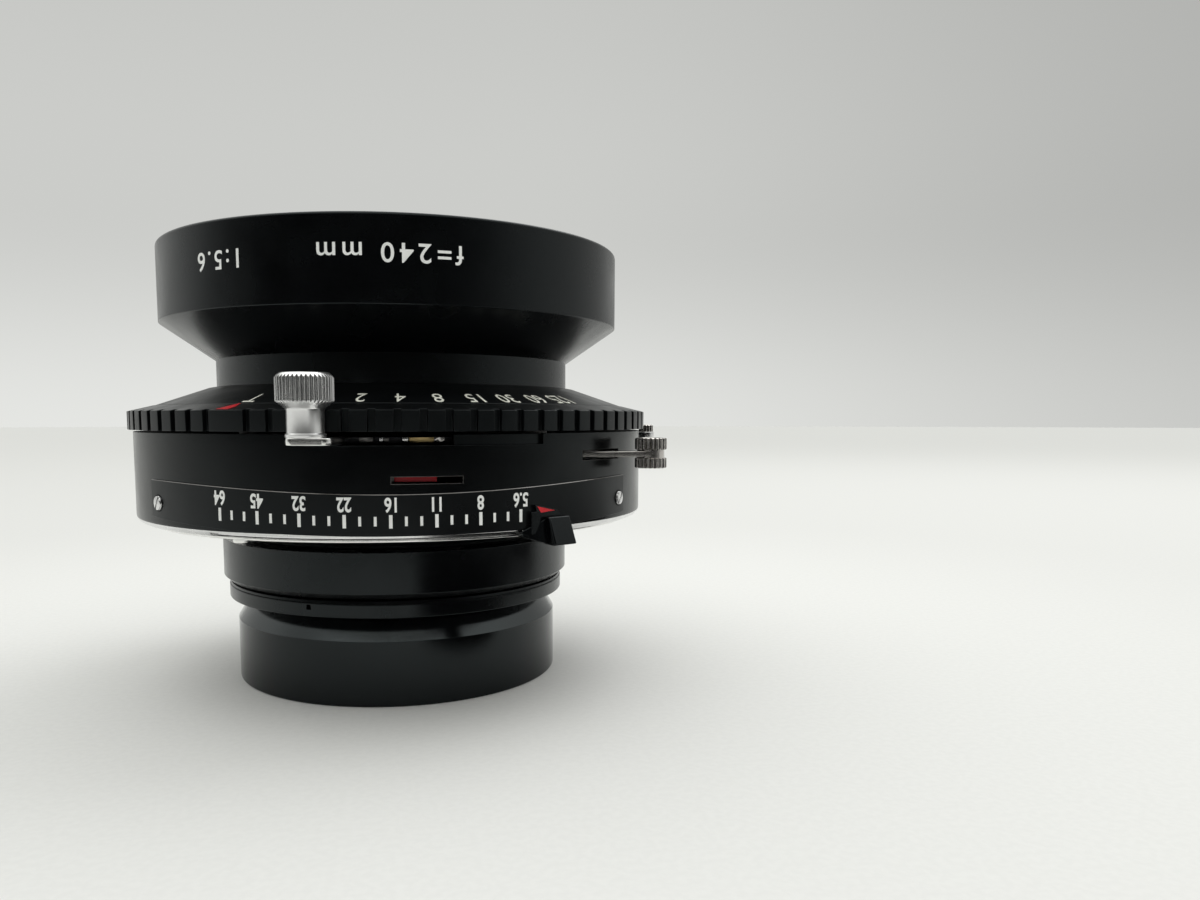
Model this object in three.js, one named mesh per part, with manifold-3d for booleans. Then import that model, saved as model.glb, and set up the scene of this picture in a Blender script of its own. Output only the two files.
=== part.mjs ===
// View-camera taking lens in a hand-cocked leaf shutter, resting on its rear rim.
// Millimetres, +Z along the optical axis towards the front element.
// The origin is the centre of the rear rim, on the surface that the lens stands on.
// Angles are in degrees about +Z, counted from -Y (the scale side) towards +X.
import * as THREE from 'three';
import { mergeVertices } from 'three/addons/utils/BufferGeometryUtils.js';
import Module from 'manifold-3d';

const wasm = await Module();
wasm.setup();

// ---- Driving dimensions ----

// Running gap left between pieces that touch on the real object.
const gap = 0.3;

// Rear cell
const rearRimRadius = 32.4;
const rearBarrelTop = 11.9;
const rearSeatRadius = 30.1;
const rearSeatZ = 17.1;
const cellThreadRadius = 28.85;

// Mounting thread, its rings and the back of the shutter
const tubeRadius = 31;
const tubeBore = 29.3;
const tubeEndZ = 17.5;
const flangeRingRadius = 34.9;
const flangeRingZ = [20.9, 28.2];
const retainingRingRadius = 33.9;
const retainingRingZ = [16.45, 19.45];
const rearPlateRadius = 47.6;
const rearPlateZ = [31.7, 32.2];

// Shutter housing
const housingRadius = 50.1;
const housingWall = 1.3;
const housingBottomZ = 32.25;
const housingFloorZ = [33.2, 34.6];
const housingTopZ = 48.95;
const apertureSlotTopZ = 33.15;

// Layers inside the shutter, from the rear to the front
const mountPlateZ = [34.9, 36.1];
const irisLayerZ = 36.5;
const bladePlateZ = [39.8, 40.5];
const shutterLayerZ = 40.9;
const upperPlateZ = [43.3, 44.0];
const layerPitch = 0.45;
const bladeThickness = 0.2;
const mechanismRadius = 46.8;

// Speed ring and face plate
const speedRingRadius = 51;
const speedRingBore = 46.5;
const speedRingZ = [49.3, 52.65];
const speedRingInnerTopZ = 53.75;
const speedIndexAngle = -31.4;
const groovePitch = 4.5;
const grooveWidth = 1.3;
const grooveDepth = 0.9;

// Front cell
const neckRadius = 35;
const neckTopZ = 62.45;
const frontSeatZ = 50.2;
const frontBarrelRadius = 45;
const frontBarrelZ = [69.3, 83.5];
const frontPocketRadius = 33.3;
const filterThreadRadius = 42.6;

// Levers
const cockingAngle = -13.25;
const cockingKnob = { radius: 54.5, angle: -14.3 };
const cockingSlot = [-19.5, 28.24];
const cockingZ = [47.35, 48.45];
const releasePivot = { radius: 38, angle: 25 };
const releaseKnob = { radius: 56, angle: 54 };
const releaseSlot = [39, 52.6];
const releaseZ = [44.4, 45.6];
const previewAngle = 92;
const previewKnobOrbit = 54;
const previewSlot = [87, 117];
const previewZ = [46.2, 46.8];
const apertureLeverAngle = 29.5;
const apertureTravel = 60;
const apertureRingZ = [32.5, 32.9];

// Iris and shutter blades: an arc of a ring, turned about a pivot near its root
const iris = { count: 7, inner: 23.6, outer: 37.5, pivot: 33.5, from: -6, to: 118, closing: 0 };
const shutter = { count: 5, inner: 24.2, outer: 40, pivot: 37, from: -6, to: 125, closing: 39.8 };

// ---- Materials ----

const finish = (color, roughness, metalness) =>
  new THREE.MeshStandardMaterial({ color, roughness, metalness });
const satinBlack = finish(0x17181a, 0.45, 0.3);
const glossBlack = finish(0x0c0d0f, 0.22, 0.2);
const plasticBlack = finish(0x101113, 0.35, 0.0);
const chrome = finish(0xd4d4d2, 0.18, 1.0);
const bladeSteel = finish(0x33353a, 0.4, 0.8);
const brass = finish(0xb08d4a, 0.35, 1.0);
const signalRed = finish(0xc4202a, 0.4, 0.0);
const coatedGlass = finish(0x9fb4c4, 0.03, 0.0);

// ---- Geometry helpers ----

// A closed solid from any closed three.js geometry, turned right side out.
function solid(geometry) {
  const bare = geometry.index ? geometry.toNonIndexed() : geometry.clone();
  for (const name of Object.keys(bare.attributes)) {
    if (name !== 'position') {
      bare.deleteAttribute(name);
    }
  }
  const merged = mergeVertices(bare, 1e-4);
  const place = merged.attributes.position.array;
  const corner = (i) => new THREE.Vector3(place[3 * i], place[3 * i + 1], place[3 * i + 2]);
  const triangles = [];
  let volume = 0;
  for (let i = 0; i < merged.index.count; i += 3) {
    const [a, b, c] = [0, 1, 2].map((k) => merged.index.getX(i + k));
    if (a !== b && b !== c && c !== a) {
      triangles.push([a, b, c]);
      volume += corner(a).dot(corner(b).cross(corner(c)));
    }
  }
  const order = volume > 0 ? [0, 1, 2] : [0, 2, 1];
  const triVerts = Uint32Array.from(triangles.flatMap((t) => order.map((k) => t[k])));
  const mesh = new wasm.Mesh({ numProp: 3, vertProperties: new Float32Array(place), triVerts });
  return new wasm.Manifold(mesh);
}

// A point on the circle of a radius at an angle from -Y towards +X.
function at(radius, degrees, z = 0) {
  const angle = THREE.MathUtils.degToRad(degrees);
  return new THREE.Vector3(radius * Math.sin(angle), -radius * Math.cos(angle), z);
}

// A turned solid about the optical axis, from [radius, z] corners.
function turned(corners, segments = 40) {
  const closes = corners[0][0] === 0 ? corners : [...corners, corners[0]];
  const profile = closes.map(([radius, z]) => new THREE.Vector2(radius, z));
  return solid(new THREE.LatheGeometry(profile, segments).rotateX(Math.PI / 2));
}

// A flat solid between two heights, from an outline of points in plan.
function plate(outline, [low, high]) {
  const shape = new THREE.Shape(outline.map((p) => new THREE.Vector2(p.x, p.y)));
  const body = new THREE.ExtrudeGeometry(shape, { depth: high - low, bevelEnabled: false });
  return solid(body.translate(0, 0, low));
}

// Points along an arc about the optical axis.
function arc(radius, from, to, step = 5) {
  const count = Math.max(1, Math.ceil(Math.abs(to - from) / step));
  return Array.from({ length: count + 1 }, (_, i) => at(radius, from + ((to - from) * i) / count));
}

// A part of a ring between two angles.
function sector(inner, outer, from, to, heights, step = 5) {
  return plate([...arc(inner, from, to, step), ...arc(outer, to, from, step)], heights);
}

// An upright round bar.
function bar(centre, radius, [low, high], segments = 16) {
  const body = new THREE.CylinderGeometry(radius, radius, high - low, segments);
  return solid(body.rotateX(Math.PI / 2).translate(centre.x, centre.y, (low + high) / 2));
}

// A turned solid about an axis that leaves the housing radially; corners are [radius, distance].
function radialTurned(corners, degrees, z, segments = 16) {
  const profile = corners.map(([radius, distance]) => new THREE.Vector2(radius, distance));
  const body = new THREE.LatheGeometry(profile, segments).rotateZ(Math.PI);
  return solid(body.rotateZ(THREE.MathUtils.degToRad(degrees)).translate(0, 0, z));
}

// A turned solid about an upright axis away from the optical axis.
function uprightTurned(corners, centre, segments = 20) {
  return turned(corners, segments).translate([centre.x, centre.y, 0]);
}

// The height that a spherical surface falls at a radius; a negative curve is hollow.
function sag(curve, radius) {
  return curve - Math.sign(curve) * Math.sqrt(curve * curve - radius * radius);
}

// A lens element from its two vertices and curves; a positive curve bulges outwards.
function lens(radius, top, bottom) {
  const steps = [0, 1, 2, 3].map((i) => (radius * i) / 3);
  const lower = steps.map((r) => [r, bottom.vertex + sag(bottom.curve, r)]);
  const upper = steps.map((r) => [r, top.vertex - sag(top.curve, r)]);
  return turned([...lower, ...upper.reverse()], 24);
}

// Knurled bar: flats and shallow vees around a circle.
function knurled(centre, radius, heights, teeth) {
  const depth = 0.25;
  const outline = Array.from({ length: teeth * 2 }, (_, i) => {
    const angle = (Math.PI * i) / teeth;
    const r = i % 2 ? radius - depth : radius;
    return new THREE.Vector3(centre.x + r * Math.cos(angle), centre.y + r * Math.sin(angle), 0);
  });
  return plate(outline, heights);
}

const object = new THREE.Group();

// Adds a solid to the object as a named mesh.
function add(name, body, material) {
  const mesh = body.getMesh();
  const geometry = new THREE.BufferGeometry();
  geometry.setAttribute('position', new THREE.BufferAttribute(mesh.vertProperties, 3));
  geometry.setIndex(new THREE.BufferAttribute(mesh.triVerts, 1));
  geometry.computeVertexNormals();
  const part = new THREE.Mesh(geometry, material);
  part.name = name;
  object.add(part);
}

// ---- Rear cell ----

const rearPocketRadius = 29.1;
const rearLedgeZ = 14.75;
const innerBore = 26.6;
const innerLensRadius = innerBore - gap;
const rearLensRadius = rearPocketRadius - gap;

add('rear_cell_barrel', turned([
  [rearPocketRadius, 0],
  [rearRimRadius, 0],
  [rearRimRadius, rearBarrelTop],
  [rearSeatRadius, 15.6],
  [rearSeatRadius, rearSeatZ],
  [cellThreadRadius, rearSeatZ],
  [cellThreadRadius, 27.4],
  [24.6, 27.4],
  [24.6, 25.7],
  [innerBore, 25.7],
  [innerBore, rearLedgeZ],
  [rearPocketRadius, rearLedgeZ],
], 36), satinBlack);

add('rear_inner_lens',
  lens(innerLensRadius, { vertex: 19.3, curve: -60 }, { vertex: 14.6, curve: 56 }), coatedGlass);
add('rear_spacer_ring',
  turned([[25, 14.3], [innerLensRadius, 14.3], [innerLensRadius, 20.1], [25, 20.1]], 24), satinBlack);
add('rear_flint_lens',
  lens(rearLensRadius, { vertex: 11.6, curve: -150 }, { vertex: 9.6, curve: -150 }), coatedGlass);
add('rear_crown_lens',
  lens(rearLensRadius, { vertex: 9.3, curve: 150 }, { vertex: 2, curve: 140 }), coatedGlass);
add('rear_lock_ring',
  turned([[27, 2.2], [rearLensRadius, 2.2], [rearLensRadius, 4.2], [27, 4.2]], 24), satinBlack);

// ---- Mounting thread, lens-board rings and rear plate ----

const plateBore = tubeRadius + 0.4;

// The iris pin swings in this slot through the floor and the mounting plate.
const pinSlot = sector(40.6, 43.4, 120 - apertureTravel - 4, 124, [30, 38]);

add('mounting_tube', turned([
  [tubeBore, tubeEndZ],
  [tubeRadius, tubeEndZ],
  [tubeRadius, mountPlateZ[0]],
  [mechanismRadius, mountPlateZ[0]],
  [mechanismRadius, mountPlateZ[1]],
  [tubeBore, mountPlateZ[1]],
], 36).subtract(pinSlot), satinBlack);

add('flange_ring', turned([
  [tubeRadius + gap, 19.9],
  [33.8, 19.9],
  [flangeRingRadius, flangeRingZ[0]],
  [flangeRingRadius, flangeRingZ[1]],
  [tubeRadius + gap, flangeRingZ[1]],
]), satinBlack);

const lockHole = radialTurned([[0, 32.9], [0.55, 32.9], [0.55, 35], [0, 35]], -28, 18.2, 12);
add('retaining_ring', turned([
  [tubeRadius + gap, retainingRingZ[0]],
  [retainingRingRadius, retainingRingZ[0]],
  [retainingRingRadius, retainingRingZ[1]],
  [tubeRadius + gap, retainingRingZ[1]],
]).subtract(lockHole), satinBlack);

add('rear_plate', turned([
  [plateBore, rearPlateZ[0]],
  [rearPlateRadius - 0.3, rearPlateZ[0]],
  [rearPlateRadius, rearPlateZ[0] + 0.3],
  [rearPlateRadius, rearPlateZ[1]],
  [plateBore, rearPlateZ[1]],
]), chrome);

add('anti_twist_screw', bar(at(38, -46), 1.6, [29.5, rearPlateZ[0] - gap]), chrome);

// ---- Housing ----

const outside = housingRadius + 1.5;
const inside = housingRadius - housingWall - 0.5;
const cockingWindow = sector(inside, outside, ...cockingSlot, [47.15, 50]);
const signWindow = sector(inside, outside, -1.2, 11.6, [41.2, 42.6]);
const releaseWindow = sector(inside, outside, ...releaseSlot, [44.1, 45.9]);
const previewWindow = sector(inside, outside, ...previewSlot, [45.9, 47.1]);
const apertureWindow = sector(46.5, outside, -37.5, 36, [31.5, apertureSlotTopZ]);

add('shutter_housing', turned([
  [plateBore + 0.1, housingFloorZ[0]],
  [47.6, housingFloorZ[0]],
  [48.0, housingBottomZ],
  [48.9, housingBottomZ],
  [49.7, 32.6],
  [housingRadius, 33.3],
  [housingRadius, housingTopZ],
  [housingRadius - housingWall, housingTopZ],
  [housingRadius - housingWall, housingFloorZ[1]],
  [plateBore + 0.1, housingFloorZ[1]],
], 56)
  .subtract(cockingWindow)
  .subtract(signWindow)
  .subtract(releaseWindow)
  .subtract(previewWindow)
  .subtract(apertureWindow)
  .subtract(pinSlot), glossBlack);

const scaleRadius = [housingRadius + 0.12, housingRadius + 0.4];
add('scale_plate', sector(...scaleRadius, -55.5, 54.5, [33.05, 40.2], 4.5), plasticBlack);

// Slotted round head of a screw that holds the scale plate.
function screwHead(degrees) {
  const from = scaleRadius[1] + 0.15;
  const head = radialTurned([[0, from], [1.5, from], [1.5, from + 0.5], [0, from + 0.5]], degrees, 37.2);
  const slot = new THREE.BoxGeometry(0.45, 0.5, 4);
  slot.rotateY(0.5).translate(0, -(from + 0.5), 37.2).rotateZ(THREE.MathUtils.degToRad(degrees));
  return head.subtract(solid(slot));
}
add('scale_screw_left', screwHead(-53.2), chrome);
add('scale_screw_right', screwHead(52.4), chrome);

const socketStart = housingRadius + gap;
add('cable_release_socket', radialTurned([
  [0, socketStart],
  [4.2, socketStart],
  [4.2, socketStart + 0.9],
  [3.1, socketStart + 0.9],
  [3.1, socketStart + 5],
  [1.7, socketStart + 5],
  [1.1, socketStart + 1.5],
  [0, socketStart + 1.5],
], 135, 41.5), chrome);
add('sync_terminal', radialTurned([
  [0, socketStart],
  [3.8, socketStart],
  [3.8, socketStart + 0.8],
  [2.8, socketStart + 0.8],
  [2.8, socketStart + 4.6],
  [2.2, socketStart + 4.6],
  [2.2, socketStart + 1.2],
  [0.9, socketStart + 1.2],
  [0.9, socketStart + 4],
  [0, socketStart + 4],
], -132, 41.5), chrome);

// ---- Aperture lever, its ring and the iris ----

const flatRing = (heights, inner, outer) => turned([
  [inner, heights[0]],
  [outer, heights[0]],
  [outer, heights[1]],
  [inner, heights[1]],
], 32);

const armFrom = apertureLeverAngle - 4;
const armTo = apertureLeverAngle + 3;
add('aperture_ring',
  flatRing(apertureRingZ, 33, 45.5).add(sector(45, 48.6, armFrom, armTo, apertureRingZ)), chrome);

// Thumb block with a web to the ring's arm and a flat tongue that points at the scale.
const block = plate([at(50.9, 27.6), at(54.2, 27.3), at(54.2, 32.6), at(50.9, 32.8)], [30.6, 35.2]);
const web = sector(48.9, 53, 23.6, 32.6, [30.7, 32.8], 2.5);
const tongue = sector(50.75, 51.3, 26.2, 31.5, [35.2, 36.4], 2)
  .add(plate([at(50.75, 26.2), at(51.3, 26.2), at(51.3, 27.6), at(50.75, 27.6)], [35.9, 37.3]));
const tongueRoot = sector(50.75, 52.2, 28.2, 31.5, [34.8, 35.8], 2);
add('aperture_lever', block.add(web).add(tongue).add(tongueRoot), plasticBlack);

const drivePin = bar(at(42, 120), 1, [apertureRingZ[1] + gap, 36.8], 12);
add('iris_ring', flatRing([36.5, 37.3], 40, 46.5).add(drivePin), brass);

// One blade: an arc of a ring with a rounded root, in its layer, turned about its pivot.
function blade(kind, index, layerZ) {
  const { inner, outer, from, to, closing } = kind;
  const step = 360 / kind.count;
  const root = index * step;
  const low = layerZ + index * layerPitch;
  const width = outer - inner;
  const tip = at((inner + outer) / 2, root + to + THREE.MathUtils.radToDeg(width / 2 / outer));
  const outline = [
    ...arc(inner, root + from, root + to, 12),
    tip,
    ...arc(outer, root + to, root + from, 12),
  ];
  const pivot = at(kind.pivot, root);
  const turn = new THREE.Matrix4().makeRotationZ(THREE.MathUtils.degToRad(closing));
  const placed = outline.map((p) => p.clone().sub(pivot).applyMatrix4(turn).add(pivot));
  return plate(placed, [low, low + bladeThickness]);
}

for (let i = 0; i < iris.count; i += 1) {
  add(`iris_blade_${i + 1}`, blade(iris, i, irisLayerZ), bladeSteel);
}
add('blade_plate', flatRing(bladePlateZ, 24, mechanismRadius), brass);
for (let i = 0; i < shutter.count; i += 1) {
  add(`shutter_blade_${i + 1}`, blade(shutter, i, shutterLayerZ), bladeSteel);
}

// ---- Works between the blades and the speed ring ----

add('upper_plate', turned([
  [29.15, upperPlateZ[0]],
  [mechanismRadius, upperPlateZ[0]],
  [mechanismRadius, upperPlateZ[1]],
  [31.2, upperPlateZ[1]],
  [31.2, 49.8],
  [29.15, 49.8],
], 32), brass);
add('blade_drive_ring', flatRing([44.5, 45.3], 31.7, 34.6), chrome);
add('speed_escapement', sector(36, 46, 150, 205, [44.4, 46.8], 5), brass);

// Wound wire spring beside the escapement.
class SpringPath extends THREE.Curve {
  getPoint(t, target = new THREE.Vector3()) {
    const turn = t * 3 * 2 * Math.PI;
    const centre = at(41, 250);
    return target.set(centre.x + 3 * Math.cos(turn), centre.y + 3 * Math.sin(turn), 44.8 + 2 * t);
  }
}
const wire = new THREE.Shape(Array.from({ length: 6 }, (_, i) =>
  new THREE.Vector2(0.25 * Math.cos((Math.PI * i) / 3), 0.25 * Math.sin((Math.PI * i) / 3))));
const springBody = new THREE.ExtrudeGeometry(wire, { steps: 36, extrudePath: new SpringPath() });
add('mainspring', solid(springBody), chrome);

// ---- Cocking lever ----

const cockingFootWidth = 7;
const cockingOut = at(1, cockingAngle);
const cockingSide = at(1, cockingAngle + 90);
const footPoint = (out, side) =>
  cockingOut.clone().multiplyScalar(out).addScaledVector(cockingSide, side);
const footHalf = cockingFootWidth / 2;
const foot = plate([
  footPoint(44, -footHalf),
  footPoint(56.2, -footHalf),
  footPoint(57.4, -footHalf + 1.2),
  footPoint(57.4, footHalf - 1.2),
  footPoint(56.2, footHalf),
  footPoint(44, footHalf),
], cockingZ);
add('cocking_lever', sector(37.5, 47.2, -60, 31, cockingZ).add(foot), chrome);
add('cocking_shield', sector(47.6, 48.4, 10.24, 31, [46.2, 48.85], 3), plasticBlack);

const cockingKnobCentre = at(cockingKnob.radius, cockingKnob.angle);
add('cocking_knob', uprightTurned([
  [0, cockingZ[1] + gap],
  [2.8, cockingZ[1] + gap],
  [2.8, 52.75],
  [4, 53.65],
  [4, 54.2],
  [0, 54.2],
], cockingKnobCentre)
  .add(knurled(cockingKnobCentre, 4.3, [53.65, 57.5], 30))
  .add(uprightTurned([[0, 57.4], [4, 57.4], [3.7, 58.1], [0, 58.1]], cockingKnobCentre)), chrome);

// Red sign behind the small window, moved by the cocking lever.
add('cocked_sign', sector(47.7, 48.4, -9.2, 7.1, [40.8, 43], 4), signalRed);

// ---- Release lever ----

const pivot = at(releasePivot.radius, releasePivot.angle);
const knobCentre = at(releaseKnob.radius, releaseKnob.angle);
const along = knobCentre.clone().sub(pivot).normalize();
const across = new THREE.Vector3(-along.y, along.x, 0);
const bladeLength = pivot.distanceTo(knobCentre);
const bladePoint = (distance, side) =>
  pivot.clone().addScaledVector(along, distance).addScaledVector(across, side);
const releaseBody = plate([
  bladePoint(0, -2.6),
  bladePoint(bladeLength, -2.3),
  bladePoint(bladeLength + 1.8, -1.3),
  bladePoint(bladeLength + 1.8, 1.3),
  bladePoint(bladeLength, 2.3),
  bladePoint(bladeLength - 9, 2.2),
  bladePoint(0, 2.6),
], releaseZ).add(bar(pivot, 2.7, releaseZ, 20));
add('release_lever', releaseBody.subtract(bar(knobCentre, 1.75, [44, 46])), chrome);

const releaseKnobRadius = 2.9;
add('release_knob', knurled(knobCentre, releaseKnobRadius, [46.0, 48.1], 18)
  .add(knurled(knobCentre, releaseKnobRadius, [42.4, 44.1], 18))
  .add(bar(knobCentre, 1.4, [44, 46.1])), chrome);

// ---- Preview lever ----

const previewKnobCentre = at(previewKnobOrbit, previewAngle);
const previewArm = sector(36, 55.2, previewAngle - 2.4, previewAngle + 2.4, previewZ, 2.4);
add('preview_lever', previewArm, chrome);
add('preview_knob', bar(previewKnobCentre, 1.5, [47.1, 48.2])
  .add(knurled(previewKnobCentre, 1.6, [48.1, 50], 14)), chrome);

// ---- Speed ring, its cam and the face plate ----

// Grip grooves all round except at the index, where one wide tooth carries the mark.
function gripGrooves() {
  const first = speedIndexAngle;
  let grooves = null;
  for (let i = 1; i < 360 / groovePitch; i += 1) {
    const cutter = new THREE.BoxGeometry(grooveWidth, 2, 6);
    cutter.translate(0, -(speedRingRadius - grooveDepth + 1), 51.5);
    const placed = solid(cutter.rotateZ(THREE.MathUtils.degToRad(first + i * groovePitch)));
    grooves = grooves ? grooves.add(placed) : placed;
  }
  return grooves;
}
add('speed_ring', turned([
  [speedRingBore, speedRingZ[0]],
  [speedRingRadius, speedRingZ[0]],
  [speedRingRadius, speedRingZ[1]],
  [speedRingBore, speedRingInnerTopZ],
], 80).subtract(gripGrooves()), glossBlack);

const camZ = [50.6, 51.6];
const camSlot = sector(39.5, 41.5, 60, 120, [50, 52]);
const camTabs = sector(44.5, 46.1, 178, 182, camZ).add(sector(44.5, 46.1, -2, 2, camZ));
add('speed_cam', flatRing(camZ, 36.5, 45.2).add(camTabs).subtract(camSlot), brass);

add('face_plate', turned([
  [neckRadius + 0.5, 55.9],
  [36.6, 55.7],
  [46.1, 52.6],
  [46.1, 53.8],
  [36.6, 57.1],
  [neckRadius + 0.5, 57.3],
]), glossBlack);

// ---- Front cell ----

add('front_cell_barrel', turned([
  [25, 44.3],
  [cellThreadRadius, 44.3],
  [cellThreadRadius, frontSeatZ],
  [neckRadius, frontSeatZ],
  [neckRadius, neckTopZ],
  [frontBarrelRadius, frontBarrelZ[0]],
  [frontBarrelRadius, frontBarrelZ[1] - 0.4],
  [frontBarrelRadius - 0.5, frontBarrelZ[1]],
  [filterThreadRadius, frontBarrelZ[1]],
  [filterThreadRadius, 74],
  [frontPocketRadius, 74],
  [frontPocketRadius, 63.4],
  [31, 63.4],
  [31, 60],
  [innerBore, 55.3],
  [innerBore, 47.5],
  [25, 47.5],
]), satinBlack);

const frontLensRadius = frontPocketRadius - gap;
add('front_inner_lens',
  lens(innerLensRadius, { vertex: 60, curve: 48 }, { vertex: 55, curve: -52 }), coatedGlass);
add('front_inner_ring',
  turned([[24.8, 53.5], [innerLensRadius, 53.5], [innerLensRadius, 55], [24.8, 55]], 24), satinBlack);
add('front_flint_lens',
  lens(frontLensRadius, { vertex: 68.85, curve: -180 }, { vertex: 66.6, curve: -190 }), coatedGlass);
add('front_crown_lens',
  lens(frontLensRadius, { vertex: 79, curve: 100 }, { vertex: 69.15, curve: 180 }), coatedGlass);
add('front_lock_ring', turned([
  [31.9, 74.35],
  [filterThreadRadius - gap, 74.35],
  [filterThreadRadius - gap, 77.4],
  [31.9, 75.3],
]), satinBlack);

export default object;
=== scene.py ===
"""A view-camera lens in a leaf shutter: its looks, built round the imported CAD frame.

Lengths are in millimetres until shape() turns them into metres. Angles are in degrees about +Z,
counted from -Y (the scale side) towards +X, as in the CAD.
"""
from math import ceil, cos, degrees, pi, radians, sin, sqrt, tan

import bmesh
import bpy
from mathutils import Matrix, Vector


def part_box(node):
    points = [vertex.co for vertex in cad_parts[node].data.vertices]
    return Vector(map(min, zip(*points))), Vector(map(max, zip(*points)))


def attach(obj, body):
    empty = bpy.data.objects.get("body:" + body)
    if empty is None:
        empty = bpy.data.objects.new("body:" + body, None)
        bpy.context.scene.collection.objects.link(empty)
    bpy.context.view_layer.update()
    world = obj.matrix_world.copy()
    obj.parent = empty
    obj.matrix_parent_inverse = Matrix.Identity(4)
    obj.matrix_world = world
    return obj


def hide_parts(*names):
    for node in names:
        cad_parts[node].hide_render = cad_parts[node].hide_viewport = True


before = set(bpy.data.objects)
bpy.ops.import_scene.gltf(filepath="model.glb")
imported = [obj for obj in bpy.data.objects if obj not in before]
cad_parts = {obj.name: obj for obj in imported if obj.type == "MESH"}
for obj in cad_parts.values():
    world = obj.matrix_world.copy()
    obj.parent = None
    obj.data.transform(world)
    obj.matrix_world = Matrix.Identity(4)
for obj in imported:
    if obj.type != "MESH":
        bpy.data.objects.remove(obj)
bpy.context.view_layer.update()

MM = 0.001
scene = bpy.context.scene


# ---- Camera, light and floor ----

def make_camera():
    data = bpy.data.cameras.new("camera")
    data.sensor_width = 36
    data.lens = 27.26
    data.shift_x = 0.0402
    data.shift_y = 0.0515
    data.clip_start = 0.01
    camera = bpy.data.objects.new("camera", data)
    camera.location = (0, -0.1928, 0.05132)
    camera.rotation_euler = (radians(90 - 5.86), 0, radians(-9.61))
    scene.collection.objects.link(camera)
    scene.camera = camera


def node(tree, kind, sockets=None, **settings):
    """A new shader node; each socket gets a value or a link."""
    made = tree.nodes.new(kind)
    for key, value in settings.items():
        setattr(made, key, value)
    for key, value in (sockets or {}).items():
        if isinstance(value, bpy.types.NodeSocket):
            tree.links.new(value, made.inputs[key])
        else:
            made.inputs[key].default_value = value
    return made


def calculate(tree, operation, *values):
    sockets = dict(enumerate(values))
    return node(tree, "ShaderNodeMath", sockets, operation=operation).outputs[0]


def ease(tree, value, start, end, low=0.0, high=1.0):
    """Maps start..end to low..high, smoothly and without overshoot."""
    sockets = {0: value, 1: start, 2: end, 3: low, 4: high}
    return node(tree, "ShaderNodeMapRange", sockets, interpolation_type="SMOOTHSTEP").outputs[0]


def make_world():
    """A pale studio, bright overhead, behind and at the sides, and dark behind the photographer."""
    world = bpy.data.worlds.new("studio")
    world.use_nodes = True
    scene.world = world
    tree = world.node_tree
    tree.nodes.clear()
    direction = node(tree, "ShaderNodeTexCoord").outputs["Generated"]
    axes = node(tree, "ShaderNodeSeparateXYZ", {0: direction})
    x, y, z = axes.outputs
    flat = calculate(tree, "SQRT", calculate(tree, "ADD", calculate(tree, "MULTIPLY", x, x),
                                             calculate(tree, "MULTIPLY", y, y)))
    toward = calculate(tree, "ADD", calculate(tree, "MULTIPLY", y, -0.951), calculate(tree, "MULTIPLY", x, -0.309))
    front = calculate(tree, "DIVIDE", toward, flat)
    side = calculate(tree, "DIVIDE", x, flat)
    open_front = calculate(tree, "MULTIPLY", ease(tree, front, -0.13, 0.78),
                           ease(tree, z, 0.42, 0.8, 1.0, 0.0))
    sky = ease(tree, z, 0.2, 0.95, 0.6, 1.55)
    sky = calculate(tree, "MULTIPLY", sky, ease(tree, side, -1.0, 1.0, 1.12, 0.88))
    light = node(tree, "ShaderNodeMix", {0: open_front, 2: sky, 3: 0.008}).outputs[0]
    # The backdrop that the camera sees carries painted shade: darker to the right and higher up.
    backdrop = calculate(tree, "MULTIPLY", ease(tree, z, -0.02, 0.2, 0.79, 0.605),
                         ease(tree, x, 0.1, 1.1, 1.0, 0.62))
    backdrop = calculate(tree, "MULTIPLY", backdrop, ease(tree, z, 0.25, 0.45, 1.0, 0.93))
    seen = node(tree, "ShaderNodeLightPath").outputs["Is Camera Ray"]
    strength = node(tree, "ShaderNodeMix", {0: seen, 2: light, 3: backdrop}).outputs[0]
    shine = node(tree, "ShaderNodeBackground", {"Color": (0.99, 1.0, 0.968, 1), "Strength": strength})
    node(tree, "ShaderNodeOutputWorld", {"Surface": shine.outputs[0]})


def make_key_light():
    data = bpy.data.lights.new("key", "AREA")
    data.shape = "DISK"
    data.size = 0.7
    data.energy = 2.1
    key = bpy.data.objects.new("key", data)
    key.location = (0.5, 0.3, 0.9)
    key.rotation_euler = (-key.location).to_track_quat("-Z", "Y").to_euler()
    scene.collection.objects.link(key)


def make_floor():
    """A wide pale disc, a little darker far away: painted shade in its colour."""
    mesh = bpy.data.meshes.new("floor")
    build = bmesh.new()
    bmesh.ops.create_circle(build, cap_ends=True, radius=6.0, segments=96)
    build.to_mesh(mesh)
    build.free()
    floor = bpy.data.objects.new("floor", mesh)
    floor.location.z = -0.02 * MM
    material = bpy.data.materials.new("floor")
    material.use_nodes = True
    tree = material.node_tree
    shader = tree.nodes["Principled BSDF"]
    shader.inputs["Roughness"].default_value = 1.0
    shader.inputs["Specular IOR Level"].default_value = 0.0
    place = node(tree, "ShaderNodeTexCoord").outputs["Object"]
    away = node(tree, "ShaderNodeVectorMath", {0: place}, operation="LENGTH").outputs["Value"]
    grain = node(tree, "ShaderNodeTexNoise", {"Vector": place, "Scale": 900.0, "Detail": 3.0}).outputs[0]
    # Painted shade: the floor's colour darkens away from the lens; the fine grain on top is its own.
    tone = calculate(tree, "MULTIPLY", ease(tree, away, 0.06, 0.3, 0.75, 0.68),
                     ease(tree, grain, 0.3, 0.7, 0.985, 1.015))
    color = node(tree, "ShaderNodeCombineColor", {0: tone, 1: tone, 2: calculate(tree, "MULTIPLY", tone, 0.985)})
    tree.links.new(color.outputs[0], shader.inputs["Base Color"])
    mesh.materials.append(material)
    scene.collection.objects.link(floor)


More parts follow.
